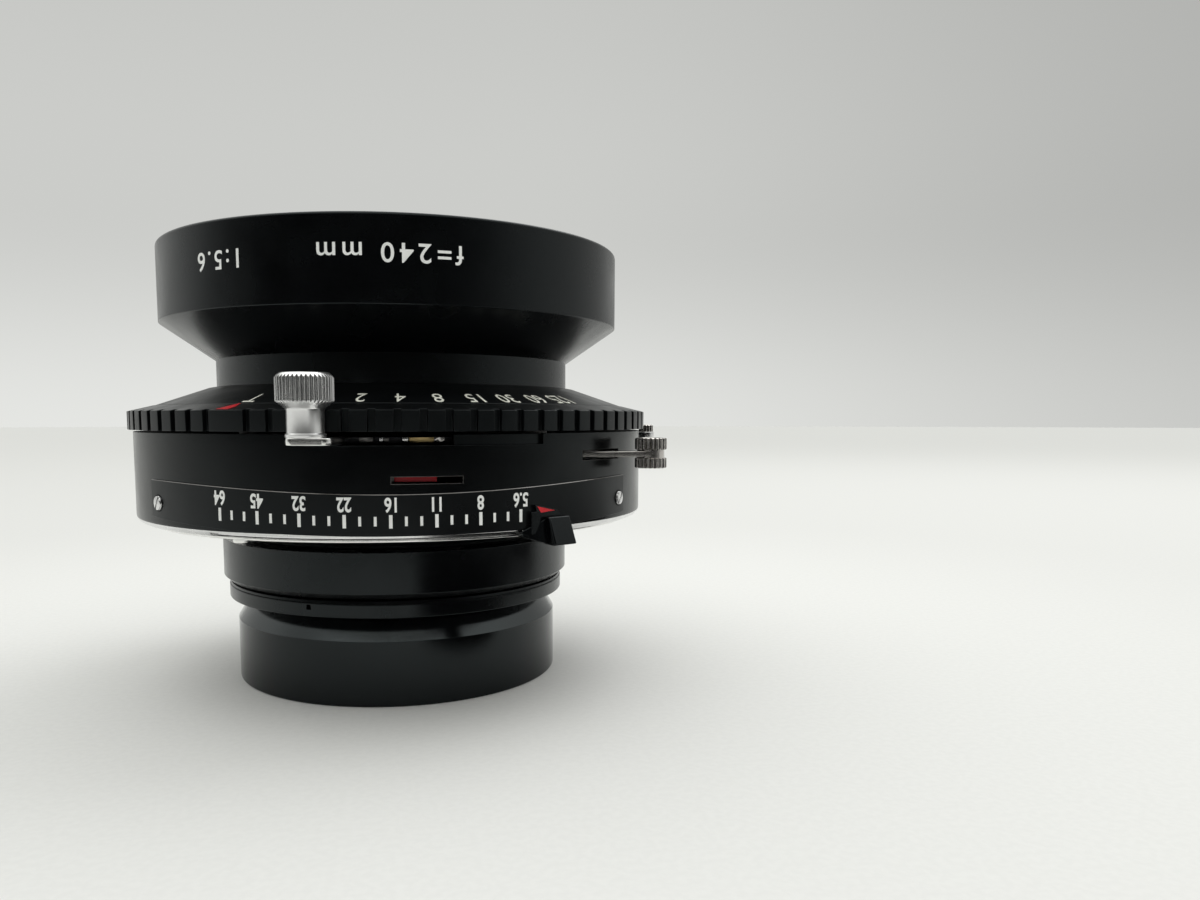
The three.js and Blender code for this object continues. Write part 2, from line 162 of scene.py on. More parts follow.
def make_shade(name, outline, low, high):
    """A dark solid that only reflections see, standing for what lies in front of the lens."""
    shade = slab(name, outline, low, high)
    material = bpy.data.materials.new(name)
    material.use_nodes = True
    shader = material.node_tree.nodes["Principled BSDF"]
    shader.inputs["Base Color"].default_value = (0.006, 0.006, 0.007, 1)
    shader.inputs["Roughness"].default_value = 0.9
    shader.inputs["Specular IOR Level"].default_value = 0.1
    shade.data.materials.append(material)
    shade.visible_camera = False
    shade.visible_diffuse = False
    shade.visible_shadow = False
    shade.visible_transmission = False


def make_shades():
    """The dark table edge in front, a sheet of painted shade seen only in reflections, and the two black caps that
    lie to the right.
    """
    near, far, side = -330, -3000, 1200
    table = [Vector(corner) for corner in ((-side, near, 0), (side, near, 0), (side, far, 0), (-side, far, 0))]
    make_shade("table_shade", table, 1.0, 2.0)
    for index, (x, y) in enumerate(((70, -98), (172, -45))):
        make_shade(f"cap_shade_{index + 1}", arc(Vector((x, y, 0)), 54, 0, 354, 59), 0.0, 18)


# ---- Materials ----

finishes = {}


def finish(name, slot, color, roughness, metallic=0.0, specular=0.5, coat=0.0,
           grain=0.0, grain_size=0.25, turned=0.0, mottle=0.15, dust=0.0):
    """A metal, enamel or plastic: clouded tone and gloss, fine grain, lathe lines and specks of dust."""
    material = bpy.data.materials.new(name)
    material.use_nodes = True
    tree = material.node_tree
    shader = tree.nodes["Principled BSDF"]
    shader.inputs["Metallic"].default_value = metallic
    shader.inputs["Specular IOR Level"].default_value = specular
    if not metallic:
        shader.inputs["Specular Tint"].default_value = (0.86, 0.97, 1.0, 1)
    shader.inputs["Coat Weight"].default_value = coat
    shader.inputs["Coat Roughness"].default_value = 0.08
    place = node(tree, "ShaderNodeTexCoord").outputs["Object"]
    place = node(tree, "ShaderNodeVectorMath", {0: place, "Scale": 1 / MM}, operation="SCALE").outputs[0]
    cloud = node(tree, "ShaderNodeTexNoise", {"Vector": place, "Scale": 0.35, "Detail": 5.0}).outputs[0]
    tone = ease(tree, cloud, 0.25, 0.75, 1 - mottle, 1 + mottle)
    shade = node(tree, "ShaderNodeVectorMath", {0: color, "Scale": tone}, operation="SCALE").outputs[0]
    if dust:
        specks = node(tree, "ShaderNodeTexVoronoi", {"Vector": place, "Scale": 0.4})
        chosen = node(tree, "ShaderNodeSeparateColor", {0: specks.outputs["Color"]}).outputs[0]
        chosen = calculate(tree, "GREATER_THAN", chosen, 0.8)
        share = calculate(tree, "MULTIPLY", ease(tree, specks.outputs["Distance"], 0.018, 0.03, dust, 0.0), chosen)
        shade = node(tree, "ShaderNodeMix", {0: share, 6: shade, 7: (0.55, 0.55, 0.55, 1)},
                     data_type="RGBA").outputs[2]
    tree.links.new(shade, shader.inputs["Base Color"])
    fine = node(tree, "ShaderNodeTexNoise", {"Vector": place, "Scale": 1 / grain_size, "Detail": 3.0}).outputs[0]
    smudge = node(tree, "ShaderNodeTexNoise", {"Vector": place, "Scale": 0.12, "Detail": 6.0}).outputs[0]
    gloss = calculate(tree, "MULTIPLY", ease(tree, smudge, 0.3, 0.7, 0.85, 1.2), roughness)
    tree.links.new(gloss, shader.inputs["Roughness"])
    height = calculate(tree, "MULTIPLY", fine, grain)
    if turned:
        parts = node(tree, "ShaderNodeSeparateXYZ", {0: place}).outputs
        across = node(tree, "ShaderNodeCombineXYZ", {0: parts[0], 1: parts[1]}).outputs[0]
        radius = node(tree, "ShaderNodeVectorMath", {0: across}, operation="LENGTH").outputs["Value"]
        line = node(tree, "ShaderNodeCombineXYZ", {0: radius, 1: parts[2]}).outputs[0]
        ridges = node(tree, "ShaderNodeTexNoise", {"Vector": line, "Scale": 9.0, "Detail": 2.0}).outputs[0]
        height = calculate(tree, "MULTIPLY_ADD", ridges, turned, height)
    bump = node(tree, "ShaderNodeBump", {"Height": height, "Strength": 1.0, "Distance": 0.02 * MM})
    tree.links.new(bump.outputs[0], shader.inputs["Normal"])
    finishes[name] = (material, slot)


def glass_finish(name, film):
    """Coated optical glass; film is the coating's thickness in nanometres."""
    material = bpy.data.materials.new(name)
    material.use_nodes = True
    tree = material.node_tree
    shader = tree.nodes["Principled BSDF"]
    shader.inputs["Base Color"].default_value = (0.93, 0.97, 0.96, 1)
    shader.inputs["Transmission Weight"].default_value = 1.0
    shader.inputs["IOR"].default_value = 1.6
    shader.inputs["Thin Film Thickness"].default_value = film
    shader.inputs["Thin Film IOR"].default_value = 1.38
    place = node(tree, "ShaderNodeTexCoord").outputs["Object"]
    dust = node(tree, "ShaderNodeTexNoise", {"Vector": place, "Scale": 900.0, "Detail": 4.0}).outputs[0]
    tree.links.new(ease(tree, dust, 0.62, 0.8, 0.0, 0.12), shader.inputs["Roughness"])
    finishes[name] = (material, "glass")


def make_materials():
    finish("anodised", "satin_black", (0.0016, 0.0018, 0.0022), 0.24, specular=0.32, grain=0.35,
           grain_size=0.09, turned=0.2)
    finish("anodised_gloss", "satin_black", (0.0016, 0.0018, 0.0022), 0.13, specular=0.34, grain=0.25,
           grain_size=0.09, turned=0.12)
    finish("anodised_cone", "satin_black", (0.0016, 0.0018, 0.0022), 0.11, specular=0.66, grain=0.25,
           grain_size=0.09, turned=0.12)
    finish("anodised_matt", "satin_black", (0.003, 0.003, 0.0032), 0.55, specular=0.16, grain=0.5,
           grain_size=0.12)
    finish("enamel", "gloss_black", (0.0007, 0.0007, 0.0009), 0.2, specular=0.24, grain=0.12, grain_size=0.35,
           dust=0.4)
    finish("enamel_satin", "gloss_black", (0.0014, 0.0016, 0.002), 0.34, specular=0.3, grain=0.4,
           grain_size=0.12, turned=0.2, dust=0.5)
    finish("plastic", "black_plastic", (0.0016, 0.0018, 0.0022), 0.22, specular=0.28, grain=0.25, grain_size=0.15)
    finish("scale_black", "black_plastic", (0.0034, 0.0034, 0.0038), 0.32, specular=0.26, grain=0.2,
           grain_size=0.1)
    finish("chrome", "chrome", (0.86, 0.86, 0.84), 0.17, metallic=1.0, grain=0.2, grain_size=0.06,
           mottle=0.05, turned=0.3)
    finish("satin_chrome", "chrome", (0.76, 0.76, 0.76), 0.25, metallic=1.0, grain=0.12, grain_size=0.07,
           mottle=0.06)
    finish("grey_metal", "chrome", (0.52, 0.5, 0.48), 0.19, metallic=1.0, grain=0.1, grain_size=0.07)
    finish("dark_metal", "chrome", (0.16, 0.155, 0.15), 0.32, metallic=1.0, grain=0.3)
    finish("spring_wire", "spring_steel", (0.52, 0.52, 0.53), 0.28, metallic=1.0, grain=0.3, mottle=0.1)
    finish("blade", "blade_steel", (0.05, 0.05, 0.055), 0.42, metallic=0.9, grain=0.5, grain_size=0.1)
    finish("brass", "brass", (0.6, 0.45, 0.21), 0.33, metallic=1.0, grain=0.4, grain_size=0.08, turned=0.4)
    finish("dark_brass", "brass", (0.035, 0.03, 0.024), 0.45, metallic=0.8, grain=0.4, grain_size=0.08)
    finish("red", "signal_red", (0.62, 0.018, 0.026), 0.42, specular=0.4, grain=0.2, mottle=0.08)
    # A darker copy of the red for the sign flag: painted shade, as the flag lies in shade inside its window.
    finish("red_painted_shade", "signal_red", (0.4, 0.012, 0.018), 0.42, specular=0.3, grain=0.2, mottle=0.08)
    finish("white", "marking_white", (0.94, 0.95, 0.93), 0.5, specular=0.3, grain=0.3, mottle=0.05)
    finish("cream", "marking_white", (0.96, 0.96, 0.86), 0.5, specular=0.3, grain=0.3, mottle=0.05)
    glass_finish("glass_outer", 112.0)
    glass_finish("glass_inner", 98.0)


# ---- Mesh helpers ----

def at(radius, angle, z=0.0):
    """A point on the circle of a radius at an angle."""
    turn = radians(angle)
    return Vector((radius * sin(turn), -radius * cos(turn), z))


def shape(name, points, faces):
    """A closed mesh object from points in millimetres."""
    mesh = bpy.data.meshes.new(name)
    mesh.from_pydata([point * MM for point in points], [], faces)
    build = bmesh.new()
    build.from_mesh(mesh)
    bmesh.ops.remove_doubles(build, verts=build.verts, dist=0.001 * MM)
    loose = [vertex for vertex in build.verts if not vertex.link_faces]
    bmesh.ops.delete(build, geom=loose, context="VERTS")
    bmesh.ops.recalc_face_normals(build, faces=build.faces)
    build.to_mesh(mesh)
    build.free()
    made = bpy.data.objects.new(name, mesh)
    scene.collection.objects.link(made)
    return made


def dress(piece, look, body, replaces=(), bevel=0.0, bevel_angle=32):
    """Gives a piece its finish, its edges and smooth shading, and says what it rides on and stands for."""
    material, slot = finishes[look]
    if not piece.data.materials:
        piece.data.materials.append(material)
    piece.data.shade_smooth()
    if bevel:
        edges = piece.modifiers.new("edges", "BEVEL")
        edges.width = bevel * MM
        edges.segments = 2
        edges.limit_method = "ANGLE"
        edges.angle_limit = radians(bevel_angle)
        edges.use_clamp_overlap = False
    else:
        piece.data.set_sharp_from_angle(angle=radians(40))
    even = piece.modifiers.new("even", "WEIGHTED_NORMAL")
    even.keep_sharp = not bevel
    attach(piece, body)
    if replaces:
        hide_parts(*([replaces] if isinstance(replaces, str) else replaces))
    return piece


def carve(target, cutter):
    """Cuts one closed mesh out of another."""
    cut = target.modifiers.new("cut", "BOOLEAN")
    cut.object = cutter
    cut.solver = "EXACT"
    graph = bpy.context.evaluated_depsgraph_get()
    mesh = bpy.data.meshes.new_from_object(target.evaluated_get(graph))
    target.modifiers.clear()
    target.data = mesh
    bpy.data.objects.remove(cutter)


def rounded(corners, fillet, steps=3):
    """A closed outline with its corners rounded; a corner's third number sets its own radius."""
    outline = []
    for index, corner in enumerate(corners):
        here = Vector(corner[:2])
        back = Vector(corners[index - 1][:2]) - here
        ahead = Vector(corners[(index + 1) % len(corners)][:2]) - here
        radius = corner[2] if len(corner) > 2 else fillet
        half = back.angle(ahead) / 2
        if radius == 0 or half > radians(86):
            outline.append(here)
            continue
        reach = min(radius / tan(half), 0.45 * back.length, 0.45 * ahead.length)
        start = here + back.normalized() * reach
        end = here + ahead.normalized() * reach
        for step in range(steps + 1):
            t = step / steps
            outline.append(start * (1 - t) ** 2 + here * 2 * t * (1 - t) + end * t * t)
    return outline


def spun(outline, segments, place):
    """Points and faces of an outline of (radius, height) turned once round; place() puts each point."""
    count = len(outline)
    points = []
    faces = []
    for step in range(segments):
        angle = 360 * step / segments
        points += [place(radius, angle, height) for radius, height in outline]
        following = (step + 1) % segments
        for index in range(count):
            nearby = (index + 1) % count
            faces.append((step * count + index, step * count + nearby,
                          following * count + nearby, following * count + index))
    return points, faces


def turned(name, corners, fillet=0.12, segments=240, centre=None):
    """A turned ring or bar about the optical axis, or about an upright axis through centre."""
    middle = centre or Vector((0, 0, 0))
    points, faces = spun(rounded(corners, fillet), segments, lambda r, a, z: at(r, a, z) + middle)
    return shape(name, points, faces)


def turned_out(name, corners, angle, height, fillet=0.08, segments=48):
    """A turned bar about an axis that leaves the housing; corners are (radius, distance from +Z)."""
    outward = at(1, angle)
    across = at(1, angle + 90)

    def place(radius, turn, distance):
        swing = radians(turn)
        lift = Vector((0, 0, height + radius * sin(swing)))
        return outward * distance + across * (radius * cos(swing)) + lift

    points, faces = spun(rounded(corners, fillet), segments, place)
    return shape(name, points, faces)


def ribbed(name, centre, levels, ribs, depth, sharpness=1.0, samples=10):
    """A knurled knob: each level is (radius, z), and the ribs are cut where the level is wide enough."""
    crest = max(radius for radius, _ in levels)
    segments = ribs * samples

    def place(radius, angle, z):
        wave = (0.5 + 0.5 * cos(radians(angle * ribs))) ** sharpness
        return at(min(radius, crest - depth * wave), angle, z) + centre

    outline = [(0.0, levels[0][1])] + levels + [(0.0, levels[-1][1])]
    points, faces = spun(outline, segments, place)
    return shape(name, points, faces)


def between(start, end, count):
    """Evenly spaced (radius, z) levels from start to end, both included."""
    first = Vector(start)
    last = Vector(end)
    return [tuple(first.lerp(last, step / count)) for step in range(count + 1)]


def angles(breaks, pitch=1.5):
    """Angles from the first break to the last, through each break, at most a pitch apart."""
    steps = [breaks[0]]
    for start, end in zip(breaks, breaks[1:]):
        count = max(1, ceil((end - start) / pitch - 0.001))
        steps += [start + (end - start) * step / count for step in range(1, count + 1)]
    return steps


def blocks(name, section, cells, steps, kept=lambda cell, angle: True):
    """A ring made of blocks: cells of a section by angle steps, less the blocks that kept() leaves out.

    section is a list of (radius, z), or a function of the angle that gives one.
    """
    whole_turn = abs(steps[-1] - steps[0] - 360) < 0.001
    columns = steps[:-1] if whole_turn else steps
    section_at = section if callable(section) else (lambda angle: section)
    points = [at(radius, angle, z) for angle in columns for radius, z in section_at(angle)]
    count = len(section_at(steps[0]))
    shared = {}

    def face(corners):
        key = frozenset(corners)
        shared[key] = None if key in shared else corners

    for step in range(len(steps) - 1):
        here = step * count
        following = (step + 1) % len(columns) * count
        middle = (steps[step] + steps[step + 1]) / 2
        for index, cell in enumerate(cells):
            if kept(index, middle):
                face([here + corner for corner in cell])
                face([following + corner for corner in cell])
                for a, b in zip(cell, cell[1:] + cell[:1]):
                    face([here + a, here + b, following + b, following + a])
    return shape(name, points, [corners for corners in shared.values() if corners])


def sector(name, inner, outer, start, end, low, high, pitch=1.5):
    section = [(inner, low), (outer, low), (outer, high), (inner, high)]
    return blocks(name, section, [[0, 1, 2, 3]], angles([start, end], pitch))


def slab(name, outline, low, high):
    """A flat plate from an outline in plan."""
    count = len(outline)
    points = [Vector((p.x, p.y, z)) for z in (low, high) for p in outline]
    faces = [list(range(count)), list(range(count, 2 * count))]
    faces += [[i, (i + 1) % count, count + (i + 1) % count, count + i] for i in range(count)]
    return shape(name, points, faces)


def prism(name, lower, upper):
    """A solid between two outlines of the same number of points."""
    count = len(lower)
    faces = [list(range(count)), list(range(count, 2 * count))]
    faces += [[i, (i + 1) % count, count + (i + 1) % count, count + i] for i in range(count)]
    return shape(name, list(lower) + list(upper), faces)


def arc(centre, radius, start, end, count):
    """Points on an arc about a centre, by angle."""
    return [centre + at(radius, start + (end - start) * step / count) for step in range(count + 1)]


def span(name):
    """Lowest and highest z of a CAD node, in millimetres."""
    low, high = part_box(name)
    return low.z / MM, high.z / MM


def reach(name):
    """Outer radius of a turned CAD node, in millimetres."""
    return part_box(name)[1].x / MM


# ---- Lettering ----

def letter_mesh(text, weight, spacing):
    curve = bpy.data.curves.new("letters", "FONT")
    curve.body = text
    curve.extrude = 0.5
    curve.offset = weight
    curve.space_character = spacing
    curve.resolution_u = 4
    holder = bpy.data.objects.new("letters", curve)
    scene.collection.objects.link(holder)
    graph = bpy.context.evaluated_depsgraph_get()
    mesh = bpy.data.meshes.new_from_object(holder.evaluated_get(graph))
    points = [vertex.co.copy() for vertex in mesh.vertices]
    faces = [list(polygon.vertices) for polygon in mesh.polygons]
    bpy.data.objects.remove(holder)
    bpy.data.meshes.remove(mesh)
    return points, faces


def lettering(name, marks, place, height, widen=1.0, weight=0.0, spacing=1.0):
    """Filled letters: marks are (text, angle), and place() puts a letter's x, y and top on a surface."""
    digit = [point.y for point in letter_mesh("0", weight, 1.0)[0]]
    scale = height / (max(digit) - min(digit))
    points = []
    faces = []
    for text, angle in marks:
        found, corners = letter_mesh(text, weight, spacing)
        middle = (max(p.x for p in found) + min(p.x for p in found)) / 2
        start = len(points)
        for point in found:
            x = (point.x - middle) * scale * widen
            y = (point.y - min(digit)) * scale - height / 2
            points.append(place(angle, x, y, point.z > 0))
        faces += [[start + corner for corner in face] for face in corners]
    return shape(name, points, faces)


def on_barrel(radius, z, lift=0.03, sunk=0.05):
    """Places upside-down letters round a cylinder."""
    def place(angle, x, y, top):
        return at(radius + (lift if top else -sunk), angle - degrees(x / radius), z - y)
    return place


# ---- Front cell ----

def thread(radius, start, end, pitch, depth):
    """Zigzag (radius, z) points of a screw thread cut into a bore, from start down to end."""
    turns = int(abs(end - start) / pitch)
    direction = 1 if end > start else -1
    crests = []
    for turn in range(turns):
        z = start + direction * turn * pitch
        crests += [(radius, z, 0), (radius + depth, z + direction * pitch / 2, 0)]
    return crests + [(radius, start + direction * turns * pitch, 0)]


def front_cell():
    low, high = span("front_cell_barrel")
    radius = reach("front_cell_barrel")
    filter_bore = radius - 2.4
    neck = 35.0
    neck_low, neck_high = 50.2, 62.45
    cone_top = 69.3
    barrel = turned("front_cell_barrel_shell", [
        (25, low), (28.85, low), (28.85, neck_low), (neck, neck_low, 0.3), (neck, neck_high, 0.05),
        (radius, cone_top, 0.25), (radius, high, 0.55), (filter_bore, high, 0.3),
        *thread(filter_bore, high - 0.9, 78.4, 0.75, 0.42), (filter_bore, 74), (33.3, 74), (33.3, 63.4),
        (31, 63.4), (31, 60), (26.6, 55.3), (26.6, 47.5), (25, 47.5)])
    dress(barrel, "anodised", "shutter", "front_cell_barrel")

    ring_low, ring_high = span("front_lock_ring")
    ring_bore = 31.9
    ring_outer = reach("front_lock_ring")
    ridges = 9
    ridge_start = 33.4
    ridge_pitch = 0.42
    slope = (ring_high - 75.3) / (ring_outer - ring_bore)

    def top(r):
        return 75.3 + slope * (r - ring_bore)

    ridge_end = ridge_start + ridges * ridge_pitch
    outline = [(ring_bore, ring_low), (ring_outer, ring_low), (ring_outer, ring_high), (ridge_end, top(ridge_end), 0)]
    for step in reversed(range(ridges)):
        r = ridge_start + step * ridge_pitch
        outline += [(r + 0.06, top(r) - 0.22, 0), (r, top(r), 0)]
    outline += [(ring_bore, 75.3)]
    ring = turned("front_name_ring", outline, 0.1)
    for angle in (60, 240):
        notch = sector("notch", ring_bore - 1, ring_bore + 1.1, angle - 1.8, angle + 1.8, ring_high - 2.6, ring_high)
        carve(ring, notch)
    dress(ring, "anodised_matt", "shutter", "front_lock_ring")

    inner_low, inner_high = span("front_inner_ring")
    inner = turned("front_inner_lock_ring", [
        (24.8, inner_low), (26.3, inner_low), (26.3, inner_high), (24.8, inner_high)], 0.15)
    dress(inner, "anodised_matt", "shutter", "front_inner_ring")

    focal = lettering("barrel_focal_length", [("f=240 mm", -0.7)], on_barrel(radius, 77.2), 3.1,
                      widen=1.04, weight=0.008, spacing=1.3)
    dress(focal, "white", "shutter")
    aperture = lettering("barrel_widest_aperture", [("1:5.6", -39.2)], on_barrel(radius, 76.9), 3.1,
                         widen=1.0, weight=0.008, spacing=1.25)
    dress(aperture, "white", "shutter")


# Each lens: radius, then vertex and curve of its upper and of its lower surface, then its coating.
lenses = {
    "front_crown_lens": (33.0, (79, 100), (69.15, 180), "glass_outer"),
    "front_flint_lens": (33.0, (68.85, -180), (66.6, -190), "glass_inner"),
    "front_inner_lens": (26.3, (60, 48), (55, -52), "glass_inner"),
    "rear_inner_lens": (26.3, (19.3, -60), (14.6, 56), "glass_inner"),
    "rear_flint_lens": (28.8, (11.6, -150), (9.6, -150), "glass_inner"),
    "rear_crown_lens": (28.8, (9.3, 150), (2, 140), "glass_outer"),
}


def sag(curve, radius):
    drop = abs(curve) - sqrt(curve * curve - radius * radius)
    return drop if curve > 0 else -drop


def lens_element(name):
    radius, upper, lower, coating = lenses[name]
    rings = [radius * step / 14 for step in range(15)]
    under = [(r, lower[0] + sag(lower[1], r)) for r in rings]
    over = [(r, upper[0] - sag(upper[1], r)) for r in rings]
    points, faces = spun(under + over[::-1], 120, at)
    lens = shape(name + "_glass", points, faces)
    lens.data.materials.append(finishes[coating][0])
    lens.data.materials.append(finishes["anodised_matt"][0])
    for polygon in lens.data.polygons:
        corners = [lens.data.vertices[index].co for index in polygon.vertices]
        on_rim = all(corner.xy.length > (radius - 0.01) * MM for corner in corners)
        polygon.material_index = 1 if on_rim else 0
    dress(lens, coating, "shutter", name)


# ---- Rear cell and the rings behind the shutter ----

def rear_cell():
    low, high = span("rear_cell_barrel")
    radius = reach("rear_cell_barrel")
    barrel = turned("rear_cell_shell", [
        (29.1, low, 0.25), (radius, low, 0.35), (radius, 11.9, 0.12), (30.1, 15.6, 0.2), (30.1, 17.1),
        (28.85, 17.1), (28.85, high), (24.6, high), (24.6, 25.7), (26.6, 25.7), (26.6, 14.75), (29.1, 14.75),
        *thread(29.1, 7.2, 4.6, 0.75, 0.3)])
    barrel.data.materials.append(finishes["anodised_gloss"][0])
    barrel.data.materials.append(finishes["anodised_cone"][0])
    for polygon in barrel.data.polygons:
        corners = [barrel.data.vertices[index].co / MM for index in polygon.vertices]
        on_cone = all(11.8 < corner.z < 15.8 and corner.xy.length > 29.9 for corner in corners)
        polygon.material_index = 1 if on_cone else 0
    dress(barrel, "anodised_gloss", "shutter", "rear_cell_barrel")

    spacer_low, spacer_high = span("rear_spacer_ring")
    spacer = turned("rear_spacer", [(25, spacer_low), (26.3, spacer_low), (26.3, spacer_high), (25, spacer_high)])
    dress(spacer, "anodised_matt", "shutter", "rear_spacer_ring")

    lock_low, lock_high = span("rear_lock_ring")
    lock = turned("rear_lock", [(27, lock_low, 0.3), (28.8, lock_low), (28.8, lock_high), (27, lock_high)])
    for angle in (0, 180):
        carve(lock, sector("notch", 26, 28, angle - 2, angle + 2, lock_low - 1, lock_low + 1))
    dress(lock, "anodised_matt", "shutter", "rear_lock_ring")


def mounting_rings():
    plate_low, plate_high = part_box("mounting_tube")[0].z / MM + 17.4, span("mounting_tube")[1]
    tube_low = span("mounting_tube")[0]
    plate_radius = reach("mounting_tube")
    screw = [(31, tube_low + 0.2, 0)]
    for turn in range(22):
        z = tube_low + 0.5 + turn * 0.75
        screw += [(31, z, 0), (30.72, z + 0.37, 0)]
    tube = turned("rear_threaded_tube", [
        (29.3, tube_low), (30.8, tube_low, 0), *screw, (31, plate_low, 0), (plate_radius, plate_low),
        (plate_radius, plate_high), (29.3, plate_high)])
    dress(tube, "anodised_matt", "shutter", "mounting_tube")

    low, high = span("flange_ring")
    radius = reach("flange_ring")
    flange = turned("lens_board_flange", [
        (31.3, low), (33.8, low, 0.1), (radius, low + 1.0, 0.15), (radius, high, 0.1), (31.3, high)])
    dress(flange, "anodised", "shutter", "flange_ring")

    low, high = span("retaining_ring")
    radius = reach("retaining_ring")
    floor = radius - 1.2
    lip = high - 0.55
    hole = (-28.9, -27.4)
    section = [(31.3, low), (floor, low), (radius - 0.1, low), (radius, low + 0.12), (radius, 17.75),
               (radius, 18.6), (radius, lip), (radius - 0.25, lip + 0.1), (radius - 0.25, high), (floor, high),
               (31.3, high), (floor, 17.75), (floor, 18.6)]
    cells = [[0, 1, 11, 12, 9, 10], [1, 2, 3, 4, 11], [11, 4, 5, 12], [12, 5, 6, 7, 8, 9]]
    steps = angles([-180, *hole, 180])
    ring = blocks("rear_retaining_ring", section, cells, steps,
                  lambda cell, angle: not (cell == 2 and hole[0] < angle < hole[1]))
    dress(ring, "anodised", "shutter", "retaining_ring", bevel=0.06)

    low, high = span("rear_plate")
    radius = reach("rear_plate")
    plate = turned("rear_bright_plate", [
        (31.4, low), (radius, low, 0.2), (radius, high, 0.12), (31.4, high)])
    dress(plate, "chrome", "shutter", "rear_plate")

    low, high = span("anti_twist_screw")
    corner_low, corner_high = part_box("anti_twist_screw")
    centre = (corner_low + corner_high) / 2 / MM
    centre.z = 0
    pin = turned("anti_twist_pin", [(0, low, 0), (1.6, low, 0.25), (1.6, high, 0.05), (0, high, 0)], centre=centre,
                 segments=48)
    slot = slab("slot", [centre + Vector(c) for c in ((-2, -0.2, 0), (2, -0.2, 0), (2, 0.2, 0), (-2, 0.2, 0))],
                low - 0.3, low + 0.4)
    carve(pin, slot)
    dress(pin, "chrome", "shutter", "anti_twist_screw", bevel=0.05)


# ---- Shutter housing ----

housing_radius = 50.1
housing_wall = 0.7
cocking_slot = (-19.5, 28.24)
sign_window = (-1.2, 11.6)
sign_heights = (41.2, 42.25)
release_slot = (39.0, 52.6)
preview_slot = (87.0, 117.0)
aperture_slot = (-37.5, 36.0)


def housing():
    low, high = span("shutter_housing")
    inner = housing_radius - housing_wall
    levels = [34.6, sign_heights[0], sign_heights[1], 44.1, 45.9, 47.15, high]
    corner_radius = 1.4
    bare_height = low + 1.1
    corner = Vector((housing_radius - corner_radius, low + corner_radius))
    sweep = [radians(-90 + 15 * step) for step in range(7)]
    lip = [(corner.x + corner_radius * cos(turn), corner.y + corner_radius * sin(turn)) for turn in sweep]
    section = [(31.5, 33.2), (31.5, 34.6), (47.6, 33.2), (48.0, low), *lip]
    outer_start = len(section)
    section += [(housing_radius, z) for z in levels]
    inner_start = len(section)
    section += [(inner, z) for z in levels]
    lip_points = list(range(4, outer_start))
    cells = [[0, 2, inner_start, 1], [2, *lip_points[4:], outer_start, inner_start]]
    for step in range(len(levels) - 1):
        cells.append([outer_start + step, outer_start + step + 1, inner_start + step + 1, inner_start + step])
    # The lowest part of the lip is cut away in front, where the aperture lever comes out.
    cells.append([2, 3, *lip_points[:5]])
    windows = {3: sign_window, 5: release_slot, 6: preview_slot, 7: cocking_slot, 8: aperture_slot}

    def kept(cell, angle):
        return cell not in windows or not windows[cell][0] < angle < windows[cell][1]

    breaks = sorted([-180, 180, *cocking_slot, *sign_window, *release_slot, *preview_slot, *aperture_slot])
    body = blocks("shutter_housing_shell", section, cells, angles(breaks), kept)
    body.data.materials.append(finishes["enamel"][0])
    body.data.materials.append(finishes["satin_chrome"][0])
    for polygon in body.data.polygons:
        corners = [body.data.vertices[index].co / MM for index in polygon.vertices]
        bare = all(corner.z < bare_height and corner.xy.length > 47.4 for corner in corners)
        polygon.material_index = 1 if bare else 0
    dress(body, "enamel", "shutter", "shutter_housing", bevel=0.09, bevel_angle=25)

    # A thin metal frame round the sign window, lighter than the enamel: a painted highlight along the window's edges.
    line = 0.11
    start, end = sign_window
    low, high = sign_heights
    frame_section = [(radius, z) for z in (low - line, low, high, high + line)
                     for radius in (housing_radius - 0.05, housing_radius + 0.05)]
    cells = [[0, 1, 3, 2], [2, 3, 5, 4], [4, 5, 7, 6]]
    line_angle = degrees(line / housing_radius)
    steps = angles([start - line_angle, start, end, end + line_angle])
    painted_highlight_frame = blocks("sign_window_painted_highlight", frame_section, cells, steps,
                  lambda cell, angle: cell != 1 or not start < angle < end)
    dress(painted_highlight_frame, "dark_metal", "shutter")


def sign():
    low, high = sign_heights
    flag = sector("cocked_sign_flag", 48.2, 48.9, -0.7, 7.1, low + 0.22, high - 0.03)
    web = sector("cocked_sign_tail", 48.25, 48.8, -9.2, -0.8, low + 0.3, high - 0.1)
    dress(web, "dark_metal", "cocked_sign")
    # The flag takes the darker red: painted shade.
    dress(flag, "red_painted_shade", "cocked_sign", "cocked_sign", bevel=0.06)


# ---- Aperture scale ----

plate_radius = 50.5
f_numbers = ["64", "45", "32", "22", "16", "11", "8", "5.6"]
first_stop = -33.8
stop_pitch = 8.1


def lean(angle):
    """How much higher the scale's marks and lower edge stand at an angle than near its middle."""
    return 0.00056 * (angle - 4) ** 2


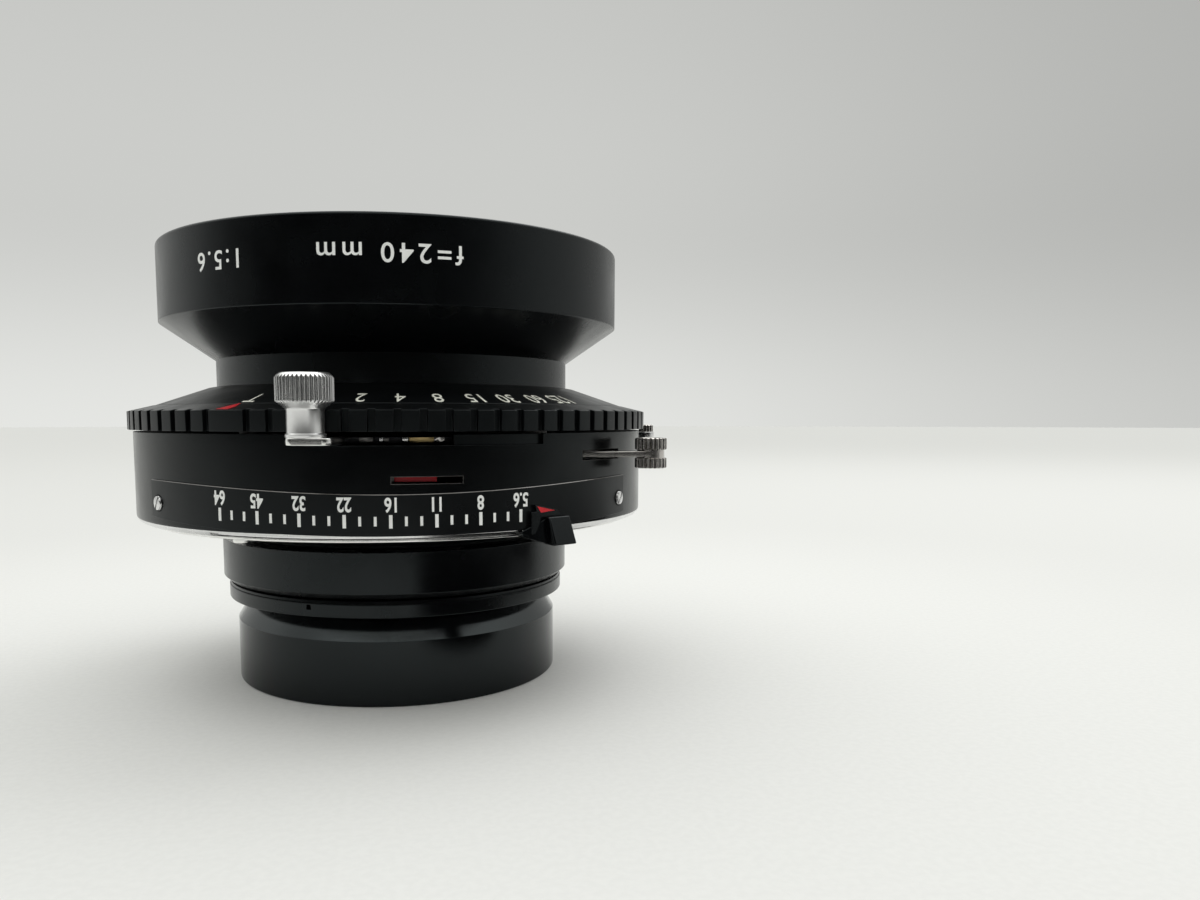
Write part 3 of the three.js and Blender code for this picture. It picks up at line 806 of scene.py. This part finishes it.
def scale():
    start, end = -55.5, 54.5
    face = plate_radius

    def section(angle):
        low = 33.05 + 0.85 * lean(angle)
        high = 39.52 + 0.71 * (1 - cos(radians(180 * angle / 56)))
        return [(face - 0.28, low), (face, low), (face, high), (face - 0.28, high)]

    # A thin strip of lighter metal along the plate's top: a painted highlight on its upper edge.
    def top_line(angle):
        high = section(angle)[2][1]
        return [(face - 0.2, high), (face + 0.01, high - 0.02), (face - 0.08, high + 0.08), (face - 0.2, high + 0.08)]

    plate = blocks("aperture_scale_plate", section, [[0, 1, 2, 3]], angles([start, end]))
    dress(plate, "scale_black", "shutter", "scale_plate", bevel=0.04)
    edge = blocks("aperture_scale_painted_highlight", top_line, [[0, 1, 2, 3]], angles([start, end]))
    dress(edge, "dark_metal", "shutter")

    def place(angle, x, y, top):
        radius = face + (0.03 if top else -0.05)
        return at(radius, angle - degrees(x / face), 37.95 + 1.05 * lean(angle) - y)

    marks = [(text, first_stop + stop_pitch * step) for step, text in enumerate(f_numbers)]
    numbers = lettering("aperture_numbers", marks, place, 2.38, widen=0.74, weight=0.026)
    dress(numbers, "white", "shutter")

    points = []
    faces = []
    for step in range(3 * (len(f_numbers) - 1) + 1):
        main = step % 3 == 0
        angle = first_stop + stop_pitch * step / 3
        half = degrees((0.27 if main else 0.22) / face)
        low = lean(angle) + (34.31 if main else 34.65)
        high = low + (2.1 if main else 1.5)
        start = len(points)
        points += [at(radius, angle + turn, z) for radius in (face - 0.05, face + 0.03)
                   for turn, z in ((-half, low), (half, low), (half, high), (-half, high))]
        faces += [[start + corner for corner in face_corners] for face_corners in (
            (0, 1, 2, 3), (4, 5, 6, 7), (0, 1, 5, 4), (1, 2, 6, 5), (2, 3, 7, 6), (3, 0, 4, 7))]
    dress(shape("aperture_ticks", points, faces), "white", "shutter")


def screw(name, angle, height, tilt):
    start = plate_radius
    rim = 1.18
    head = turned_out(name + "_head", [(0, start, 0), (rim, start, 0.02), (rim, start + 0.36, 0.12),
                                       (0, start + 0.46, 0)], angle, height)
    outward = at(1, angle)
    across = at(1, angle + 90)
    lean = radians(tilt)
    along = across * cos(lean) + Vector((0, 0, sin(lean)))
    wide = across * -sin(lean) + Vector((0, 0, cos(lean)))
    middle = Vector((0, 0, height))
    corners = [(-2, -0.17), (2, -0.17), (2, 0.17), (-2, 0.17)]
    low, high = ([middle + outward * depth + along * u + wide * v for u, v in corners]
                 for depth in (start + 0.2, start + 1.5))
    carve(head, prism("slot", low, high))
    dress(head, "satin_chrome", "shutter", name, bevel=0.04)
    # A thin dark matt strip in the slot: painted shade in its bottom.
    corners = [(-1.08, -0.17), (1.08, -0.17), (1.08, 0.17), (-1.08, 0.17)]
    low, high = ([middle + outward * depth + along * u + wide * v for u, v in corners]
                 for depth in (start + 0.18, start + 0.26))
    dress(prism(name + "_slot", low, high), "anodised_matt", "shutter")
    # A dark matt ring round the head: painted shade of the countersink.
    painted_shade_ring = turned_out(name + "_countersink_painted_shade", [(1.21, start - 0.05), (1.48, start - 0.05), (1.48, start + 0.03),
                                              (1.21, start + 0.03)], angle, height, fillet=0.01)
    dress(painted_shade_ring, "anodised_matt", "shutter")


def sockets():
    start = housing_radius
    release_angle, sync_angle = 135, -132
    height = 41.5
    threads = []
    for turn in range(6):
        out = start + 4.6 - turn * 0.5
        threads += [(1.7 - 0.07 * turn, out, 0), (1.5 - 0.07 * turn, out - 0.25, 0)]
    socket = turned_out("cable_release_nipple", [
        (0, start, 0), (4.2, start, 0.02), (4.2, start + 1.2, 0.2), (3.1, start + 1.2, 0.1),
        (3.1, start + 5.3, 0.3), (1.8, start + 5.3, 0.1), *threads, (1.1, start + 1.8, 0), (0, start + 1.8, 0)],
        release_angle, height, segments=64)
    dress(socket, "chrome", "shutter", "cable_release_socket")
    collar = turned_out("sync_terminal_body", [
        (0, start, 0), (3.8, start, 0.02), (3.8, start + 1.1, 0.2), (2.8, start + 1.1, 0.1),
        (2.8, start + 4.9, 0.15), (2.2, start + 4.9, 0.1), (2.2, start + 1.5, 0), (0.9, start + 1.5, 0),
        (0.9, start + 4.2, 0.3), (0, start + 4.2, 0)], sync_angle, height, segments=64)
    dress(collar, "chrome", "shutter", "sync_terminal")
    insulator = turned_out("sync_terminal_insulator", [
        (0.95, start + 1.5), (2.15, start + 1.5), (2.15, start + 2.1), (0.95, start + 2.1)],
        sync_angle, height, fillet=0.05)
    dress(insulator, "plastic", "shutter")


# ---- Aperture ring, lever and blades ----

def aperture_control():
    low, high = span("aperture_ring")
    rim = 47.5
    ring = turned("aperture_drive_ring", [
        (33, low), (45.5, low), (45.5, low - 0.2), (rim - 0.15, low - 0.2), (rim, high + 0.06), (33, high)], 0.04)
    dress(ring, "satin_chrome", "aperture_lever", "aperture_ring")
    arm = sector("aperture_ring_arm", 45.3, 48.6, 25.5, 32.5, low + 0.02, high - 0.02)
    dress(arm, "chrome", "aperture_lever", bevel=0.05)

    foot, head = 30.6, 35.2
    lower = [at(50.9, 27.7), at(54.2, 27.3), at(54.2, 32.6), at(50.9, 32.7)]
    upper = [at(50.9, 27.7), at(52.5, 27.45), at(52.5, 32.5), at(50.9, 32.7)]
    lower = [point + Vector((0, 0, foot)) for point in lower]
    upper = [point + Vector((0, 0, head)) for point in upper]
    block = prism("aperture_lever_thumb_block", lower, upper)
    dress(block, "plastic", "aperture_lever", "aperture_lever", bevel=0.22)

    ridge_points = []
    for out, z in ((54.25, foot + 0.4), (52.75, head - 0.5)):
        ridge_points.append([at(out, angle, z) for angle in (27.75, 28.1)]
                            + [at(out - 0.5, angle, z) for angle in (28.1, 27.75)])
    dress(prism("aperture_lever_rib", *ridge_points), "plastic", "aperture_lever", bevel=0.05)

    web_start, web_end = 22.9, 27.9
    shoulder = foot + 2.2

    def web_section(angle):
        share = (angle - web_start) / (web_end - web_start)
        low = foot + 1.5 - 1.4 * share
        top = shoulder + 0.2 + 1.9 * share
        return [(48.9, low), (51.0 + 1.6 * share, low), (51.0 + 0.9 * share, shoulder), (50.75, shoulder),
                (48.9, shoulder), (50.95 + 0.6 * share, top), (50.75, top)]

    web = blocks("aperture_lever_web", web_section, [[0, 1, 2, 3, 4], [3, 2, 5, 6]],
                 angles([web_start, web_end], 0.5))
    dress(web, "plastic", "aperture_lever", bevel=0.08)
    riser = blocks("aperture_lever_riser", [(50.75, foot + 1.8), (51.5, foot + 1.8), (51.3, head + 0.9),
                                            (50.75, head + 0.9)], [[0, 1, 2, 3]], angles([24.6, 28.2]))
    dress(riser, "plastic", "aperture_lever", bevel=0.08)
    pointer_outline = [(25.5, 37.25), (31.0, 36.15), (31.4, 35.0), (26.2, 35.0)]
    layers = [[at(radius, angle, z) for angle, z in pointer_outline] for radius in (50.75, 51.3)]
    dress(prism("aperture_pointer", *layers), "plastic", "aperture_lever", bevel=0.05)
    triangle = [(25.96, 36.98), (30.0, 36.15), (26.74, 35.9)]
    layers = [[at(radius, angle, z) for angle, z in triangle] for radius in (51.2, 51.34)]
    dress(prism("aperture_pointer_mark", *layers), "red", "aperture_lever")

    low, high = span("iris_ring")
    drive = turned("iris_drive_ring", [(40, high - 0.8), (46.5, high - 0.8), (46.5, high), (40, high)], 0.08)
    dress(drive, "brass", "aperture_lever", "iris_ring")


def blade_set(kind, count, inner, outer, pivot, start, end, closing):
    """Thin blades: arcs of a ring with round ends, each turned about its pivot."""
    for index in range(count):
        name = f"{kind}_blade_{index + 1}"
        root = index * 360 / count
        low, high = span(name)
        middle = (inner + outer) / 2
        half = (outer - inner) / 2
        tip = at(middle, root + end)
        heel = at(middle, root + start)
        outline = arc(Vector((0, 0, 0)), inner, root + start, root + end, 44)
        outline += arc(tip, half, root + end + 180, root + end, 10)[1:-1]
        outline += arc(Vector((0, 0, 0)), outer, root + end, root + start, 44)
        outline += arc(heel, half * 0.5, root + start, root + start - 90, 4)[1:-1]
        axis = at(pivot, root)
        turn = radians(closing)
        placed = []
        for point in outline:
            arm = point - axis
            placed.append(axis + Vector((arm.x * cos(turn) - arm.y * sin(turn),
                                         arm.x * sin(turn) + arm.y * cos(turn), 0)))
        dress(slab(name + "_leaf", placed, low, high), "blade", name, name)


def blades():
    blade_set("iris", 7, 23.6, 37.5, 33.5, -6, 118, 0)
    blade_set("shutter", 5, 24.2, 40, 37, -6, 125, 39.8)
    low, high = span("blade_plate")
    plate = turned("blade_bearing_plate", [(24, low), (46.8, low), (46.8, high), (24, high)], 0.1)
    dress(plate, "brass", "shutter", "blade_plate")
    low, high = span("upper_plate")
    deck = low + 0.7
    upper = turned("upper_bearing_plate", [
        (29.15, low), (46.8, low), (46.8, deck), (31.2, deck, 0.3), (31.2, high, 0.1), (29.15, high)], 0.08)
    dress(upper, "dark_brass", "shutter", "upper_plate")
    low, high = span("blade_drive_ring")
    ring = turned("shutter_drive_ring", [(31.7, low), (34.6, low), (34.6, high), (31.7, high)], 0.08)
    dress(ring, "chrome", "preview_lever", "blade_drive_ring")


# ---- Levers ----

def cocking_lever():
    low, high = span("cocking_lever")
    middle_angle = -13.25
    out = at(1, middle_angle)
    side = at(1, middle_angle + 90)
    half = 3.5
    corner = 1.3
    outline = [out * 44 - side * half, out * 44 + side * half]
    outline += arc(out * (57.4 - corner) + side * (half - corner), corner, middle_angle + 90, middle_angle, 5)
    outline += arc(out * (57.4 - corner) - side * (half - corner), corner, middle_angle, middle_angle - 90, 5)
    foot = slab("cocking_lever_foot", outline, low, high)
    dress(foot, "chrome", "cocking_lever", bevel=0.14)
    segment = sector("cocking_lever_segment", 37.5, 46.6, -60, 31, low + 0.05, high - 0.05)
    dress(segment, "blade", "cocking_lever", "cocking_lever", bevel=0.08)
    pawls = [(-7.2, -4.6, "dark_metal"), (-3.4, -2.7, "satin_chrome"), (-2.6, -1.6, "dark_metal"),
             (0.9, 2.0, "chrome"), (2.2, 6.9, "brass"), (7.0, 9.0, "grey_metal")]
    for index, (start, end, look) in enumerate(pawls):
        section = [(45.4, low + 0.15), (47.4, low + 0.15), (47.5, high - 0.05), (45.4, high - 0.05)]
        pawl = blocks(f"cocking_pawl_{index + 1}", section, [[0, 1, 2, 3]], angles([start, end]))
        dress(pawl, look, "cocking_lever", bevel=0.06)
    low, high = span("cocking_shield")
    shield = sector("cocking_slot_shield", 48.0, 49.35, 10.24, 31, low, high)
    dress(shield, "enamel_satin", "cocking_lever", "cocking_shield", bevel=0.08)

    base, top = span("cocking_knob")
    base -= 0.3
    centre = at(54.5, -14.3)
    head = base + 5.2
    crest = 4.3
    levels = [(2.95, base), (3.05, base + 0.12), (3.05, base + 0.5), (2.8, base + 0.7), (2.8, base + 4.05),
              (2.9, base + 4.3)]
    levels += between((3.0, base + 4.4), (crest, head + 0.25), 10)
    levels += between((crest, head + 0.3), (crest, top - 0.75), 6)
    levels += between((crest - 0.02, top - 0.72), (3.75, top - 0.12), 10)
    levels += [(3.6, top - 0.03), (3.4, top), (1.6, top), (1.4, top - 0.12)]
    knob = ribbed("cocking_lever_knob", centre, levels, 40, 0.34, sharpness=1.6)
    dress(knob, "satin_chrome", "cocking_lever", "cocking_knob")


def release_lever():
    low, high = span("release_lever")
    pivot = at(38, 25)
    centre = at(56, 54)
    along = (centre - pivot).normalized()
    across = Vector((-along.y, along.x, 0))
    length = (centre - pivot).length
    hub = 2.7
    outline = []
    outline += [pivot - across * hub, pivot + along * (length - 9) - across * 2.3, centre - across * 2.25]
    outline += [centre + along * 2.25 * sin(radians(a)) - across * 2.25 * cos(radians(a)) for a in range(15, 180, 15)]
    outline += [centre + across * 2.25, pivot + along * (length - 9) + across * 2.2, pivot + across * hub]
    outline += [pivot - along * hub * sin(radians(a)) + across * hub * cos(radians(a)) for a in range(15, 180, 15)]
    blade = slab("release_lever_blade", outline, low + 0.12, high - 0.12)
    dress(blade, "grey_metal", "release_lever", "release_lever", bevel=0.12)

    base, top = span("release_knob")
    crest = 2.9
    waist = 2.45
    lower = (base, low - 0.1)
    upper = (high + 0.1, top - 0.25)

    def disc(start, end):
        rim = between((crest - 0.3, start), (crest, start + 0.15), 4)
        rim += between((crest, start + 0.2), (crest, end - 0.2), 3)
        return rim + between((crest, end - 0.15), (crest - 0.3, end), 4)

    levels = disc(*lower) + [(waist, lower[1] + 0.02), (waist, upper[0] - 0.02)] + disc(*upper)
    levels += [(1.9, upper[1]), (1.8, upper[1] - 0.1)]
    knob = ribbed("release_lever_knob", centre, levels, 20, 0.36, sharpness=2.2)
    dress(knob, "grey_metal", "release_lever", "release_knob")


def preview_lever():
    low, high = span("preview_lever")
    angle = 92
    arm = sector("preview_lever_arm", 36, 55.2, angle - 2.4, angle + 2.4, low, high, pitch=0.8)
    dress(arm, "chrome", "preview_lever", "preview_lever", bevel=0.1)
    base, top = span("preview_knob")
    post = turned("preview_lever_post", [(0, base - 0.3), (1.75, base - 0.3), (1.75, 48.4), (0, 48.4)], 0.12,
                  segments=48, centre=at(54, angle))
    dress(post, "satin_chrome", "preview_lever")
    crest = 1.6
    levels = between((1.42, 48.3), (crest, 48.55), 3) + between((crest, 48.6), (crest, top - 0.3), 3)
    levels += between((crest, top - 0.25), (1.25, top), 3)
    knob = ribbed("preview_lever_knob", at(54, angle), levels, 14, 0.26, sharpness=2.0)
    dress(knob, "grey_metal", "preview_lever", "preview_knob")


# ---- Speed ring and face plate ----

face_outer = (46.1, 53.8)
face_inner = (36.6, 57.1)
index_angle = -31.4
speeds = {"T": -31.6, "B": -23.6, "1": -15.6, "2": -7.5, "4": 0.77, "8": 8.7, "15": 16.9, "30": 24.8,
          "60": 32.8, "125": 40.7}


def speed_ring():
    low, high = span("speed_ring")
    outer = 51.0
    bore = 46.5
    valley = outer - 0.9
    rim_top = 52.65
    slope = (high - rim_top) / (outer - bore)
    groove_half = degrees(0.62 / outer)
    section = [(bore, low), (valley, low), (outer, low), (outer, rim_top),
               (valley, rim_top + slope * (outer - valley)), (bore, high)]
    cells = [[0, 1, 4, 5], [1, 2, 3, 4]]
    centres = [index_angle + 4.5 * step for step in range(1, 80)]
    breaks = [index_angle]
    for centre in centres:
        breaks += [centre - groove_half, centre + groove_half]
    breaks.append(index_angle + 360)

    def kept(cell, angle):
        return cell == 0 or all(abs(angle - centre) > groove_half for centre in centres)

    ring = blocks("speed_ring_grip", section, cells, angles(breaks), kept)
    dress(ring, "enamel_satin", "speed_ring", "speed_ring", bevel=0.1, bevel_angle=25)

    wedge = [(50.4, -33.9), (50.6, -31.2), (48.8, -31.1), (46.45, -32.2), (48.6, -33.2)]
    layers = []
    for lift in (-0.05, 0.06):
        layers.append([at(radius, angle, rim_top + slope * (outer - radius) + lift) for radius, angle in wedge])
    dress(prism("speed_ring_index", *layers), "red", "speed_ring")


def face_plate():
    plate = turned("speed_face_plate", [
        (35.5, 55.9), (36.6, 55.7), (46.1, 52.6), (*face_outer, 0.12), (*face_inner, 0.4), (35.5, 57.3)], 0.08)
    dress(plate, "enamel_satin", "shutter", "face_plate")
    slope = (face_inner[1] - face_outer[1]) / (face_outer[0] - face_inner[0])
    middle = 43.6

    def place(angle, x, y, top):
        radius = middle + y * 0.945
        z = face_outer[1] + slope * (face_outer[0] - radius)
        return at(radius, angle - degrees(x / middle), z + (0.03 if top else -0.05))

    marks = list(speeds.items())
    numbers = lettering("speed_numbers", marks, place, 4.25, widen=0.62)
    dress(numbers, "cream", "shutter")


def carried_over():
    """The works that stay as the CAD drew them: only their finish is new."""
    looks = {"speed_cam": "dark_brass", "speed_escapement": "brass", "mainspring": "spring_wire"}
    for name, look in looks.items():
        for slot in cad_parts[name].material_slots:
            slot.material = finishes[look][0]


scene.view_settings.view_transform = "Standard"
make_camera()
make_world()
make_key_light()
make_floor()
make_shades()
make_materials()
front_cell()
for lens_name in lenses:
    lens_element(lens_name)
rear_cell()
mounting_rings()
housing()
sign()
scale()
screw("scale_screw_left", -52.4, 37.1, 62)
screw("scale_screw_right", 52.0, 36.9, 50)
sockets()
aperture_control()
blades()
cocking_lever()
release_lever()
preview_lever()
speed_ring()
face_plate()
carried_over()
